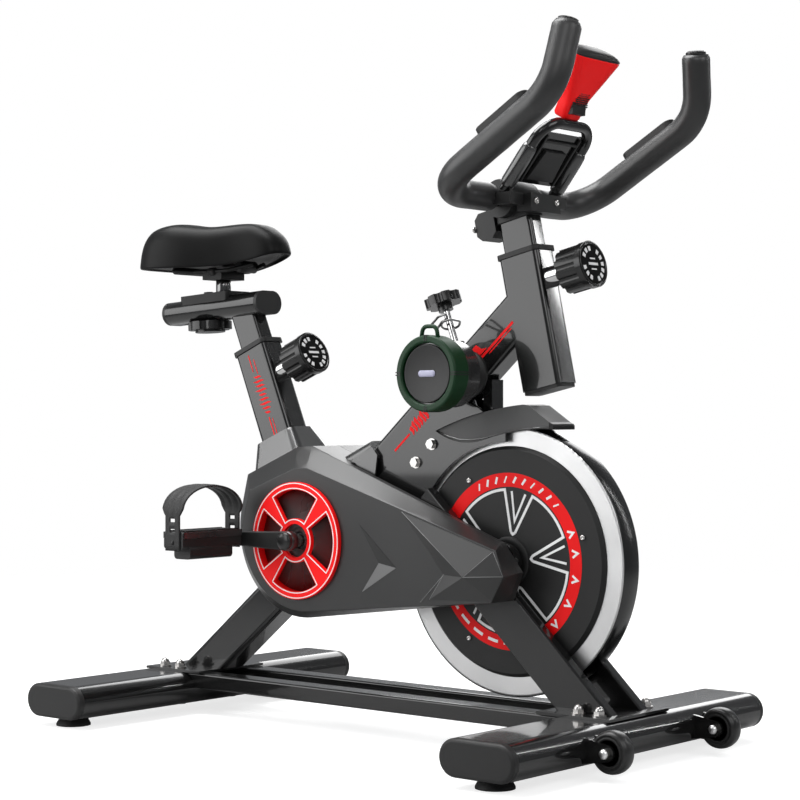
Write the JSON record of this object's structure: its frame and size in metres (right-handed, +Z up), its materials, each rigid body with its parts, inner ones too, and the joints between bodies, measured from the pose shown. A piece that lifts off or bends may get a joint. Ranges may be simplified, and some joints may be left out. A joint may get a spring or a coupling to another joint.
{
  "type": "indoor spin bike",
  "caption": "Indoor spin bike with a heavy flywheel, belt drive under a guard, sliding seat and bar posts, bent grips with a small monitor, and a speaker on the down tube.",
  "frame": {"origin": "on the floor, below the middle of the bike's length and width", "axes": "+X forward, +Y to the rider's left, +Z up"},
  "size_m": [0.991, 0.6076, 0.9853],
  "materials": {
    "frame_paint": "gloss black powder coat",
    "guard_plastic": "smooth moulded black",
    "black_plastic": "fine moulded texture",
    "knob_plastic": "moulded, slightly glossy",
    "red_plastic": "gloss red",
    "rubber": "matte",
    "foam": "fine closed-cell foam",
    "saddle_cover": "soft grained synthetic leather",
    "chrome": "bright plated",
    "zinc": "bright zinc plated",
    "rim_steel": "polished, lathe turned",
    "disc_black": "satin black",
    "dark_steel": "blackened",
    "speaker_rubber": "green moulded rubber",
    "felt": "pressed wool felt"
  },
  "bodies": {
    "frame": {"stabilizers": "frame_paint", "stabilizer_end_caps": "black_plastic", "rubber_feet": "rubber", "base_rails": "frame_paint", "rear_leg": "frame_paint", "seat_tube": "frame_paint", "down_tube": "frame_paint", "head_tube": "frame_paint", "bottom_bracket_shell": "frame_paint", "fork_legs": "frame_paint", "frame_plates": "frame_paint", "frame_fasteners": "zinc", "sealed_bearings": "zinc", "post_sleeves": "black_plastic", "pin_bosses": "chrome", "chain_guard_right": "guard_plastic", "chain_guard_left": "guard_plastic", "guard_boots": "guard_plastic", "crank_trim_ring": "red_plastic", "drive_belt": "rubber", "flywheel_cover": "guard_plastic", "frame_brackets": "frame_paint", "speaker_cup": "black_plastic", "speaker_body": "black_plastic", "speaker_rim": "speaker_rubber"},
    "flywheel": {"flywheel": "rim_steel", "flywheel_face_covers": "disc_black", "flywheel_axle": "zinc", "flywheel_pulley": "dark_steel"},
    "crank": {"crank_pulley": "dark_steel", "crank_and_pedal_axles": "zinc", "crank_arms": "dark_steel"},
    "right_pedal": {"pedal_body_right": "black_plastic", "pedal_strap_right": "rubber"},
    "left_pedal": {"pedal_body_left": "black_plastic", "pedal_strap_left": "rubber"},
    "brake_rod": {"brake_rod": "chrome", "brake_pad": "felt"},
    "brake_knob": {"brake_knob": "knob_plastic"},
    "seat_post": {"seat_post": "frame_paint", "seat_slide": "frame_paint", "seat_slide_caps": "black_plastic"},
    "seat_carriage": {"seat_carriage": "frame_paint"},
    "carriage_knob": {"carriage_knob": "knob_plastic"},
    "saddle": {"saddle": "saddle_cover", "saddle_frame": "dark_steel"},
    "seat_pin": {"seat_pin": "chrome"},
    "seat_pin_knob": {"seat_pin_knob": "knob_plastic"},
    "bars": {"handlebar_post": "frame_paint", "handlebar": "frame_paint", "foam_grips": "foam", "pulse_pads": "black_plastic", "bar_clamps": "black_plastic", "console_rest": "frame_paint", "monitor": "red_plastic"},
    "bar_pin": {"bar_pin": "chrome"},
    "bar_pin_knob": {"bar_pin_knob": "knob_plastic"},
    "left_wheel": {"wheel_left": "rubber"},
    "right_wheel": {"wheel_right": "rubber"}
  },
  "joints": [
    {"name": "flywheel_spin", "type": "hinge", "parent": "frame", "child": "flywheel", "pos_m": [0.215, 0, 0.2645], "axis": [0, 1, 0], "continuous": true},
    {"name": "crank_spin", "type": "hinge", "parent": "frame", "child": "crank", "pos_m": [-0.13, 0, 0.283], "axis": [0, 1, 0], "continuous": true},
    {"name": "right_pedal_spin", "type": "hinge", "parent": "crank", "child": "right_pedal", "pos_m": [-0.234, -0.18, 0.283], "axis": [0, 1, 0], "continuous": true},
    {"name": "left_pedal_spin", "type": "hinge", "parent": "crank", "child": "left_pedal", "pos_m": [-0.026, 0.18, 0.283], "axis": [0, 1, 0], "continuous": true},
    {"name": "brake_push", "type": "slide", "parent": "frame", "child": "brake_rod", "axis": [0.3469, 0, -0.9379], "range_m": [0, 0.0065], "stiffness_N_per_m": 1500, "springref_m": -0.005},
    {"name": "brake_knob_turn", "type": "hinge", "parent": "brake_rod", "child": "brake_knob", "pos_m": [0.07796, 0, 0.63497], "axis": [-0.3469, 0, 0.9379], "range_deg": [-360, 360]},
    {"name": "seat_height", "type": "slide", "parent": "frame", "child": "seat_post", "axis": [-0.3827, 0, 0.9239], "range_m": [-0.025, 0.125]},
    {"name": "seat_fore_aft", "type": "slide", "parent": "seat_post", "child": "seat_carriage", "axis": [0.9981, 0, 0.061], "range_m": [-0.045, 0.02]},
    {"name": "carriage_knob_turn", "type": "hinge", "parent": "seat_carriage", "child": "carriage_knob", "pos_m": [-0.40525, 0, 0.63741], "axis": [-0.061, 0, 0.9981], "range_deg": [0, 360]},
    {"name": "saddle_tilt", "type": "hinge", "parent": "seat_carriage", "child": "saddle", "pos_m": [-0.3735, 0, 0.689], "axis": [0, 1, 0], "range_deg": [-10, 10]},
    {"name": "seat_pin_pull", "type": "slide", "parent": "frame", "child": "seat_pin", "axis": [0.9239, 0, 0.3827], "range_m": [0, 0.01], "stiffness_N_per_m": 900, "springref_m": -0.01},
    {"name": "seat_pin_turn", "type": "hinge", "parent": "seat_pin", "child": "seat_pin_knob", "pos_m": [-0.19905, 0, 0.55692], "axis": [0.9239, 0, 0.3827], "range_deg": [0, 360]},
    {"name": "bar_height", "type": "slide", "parent": "frame", "child": "bars", "axis": [-0.2113, 0, 0.9774], "range_m": [0, 0.1]},
    {"name": "bar_pin_pull", "type": "slide", "parent": "frame", "child": "bar_pin", "axis": [0.9774, 0, 0.2113], "range_m": [0, 0.01], "stiffness_N_per_m": 900, "springref_m": -0.01},
    {"name": "bar_pin_turn", "type": "hinge", "parent": "bar_pin", "child": "bar_pin_knob", "pos_m": [0.31816, 0, 0.67236], "axis": [0.9774, 0, 0.2113], "range_deg": [0, 360]},
    {"name": "right_wheel_spin", "type": "hinge", "parent": "frame", "child": "right_wheel", "pos_m": [0.463, -0.132, 0.038], "axis": [0, 1, 0], "continuous": true},
    {"name": "left_wheel_spin", "type": "hinge", "parent": "frame", "child": "left_wheel", "pos_m": [0.463, 0.132, 0.038], "axis": [0, 1, 0], "continuous": true}
  ],
  "couplings": [
    {"joint": "crank_spin", "follows": "flywheel_spin", "ratio": 0.25714}
  ]
}
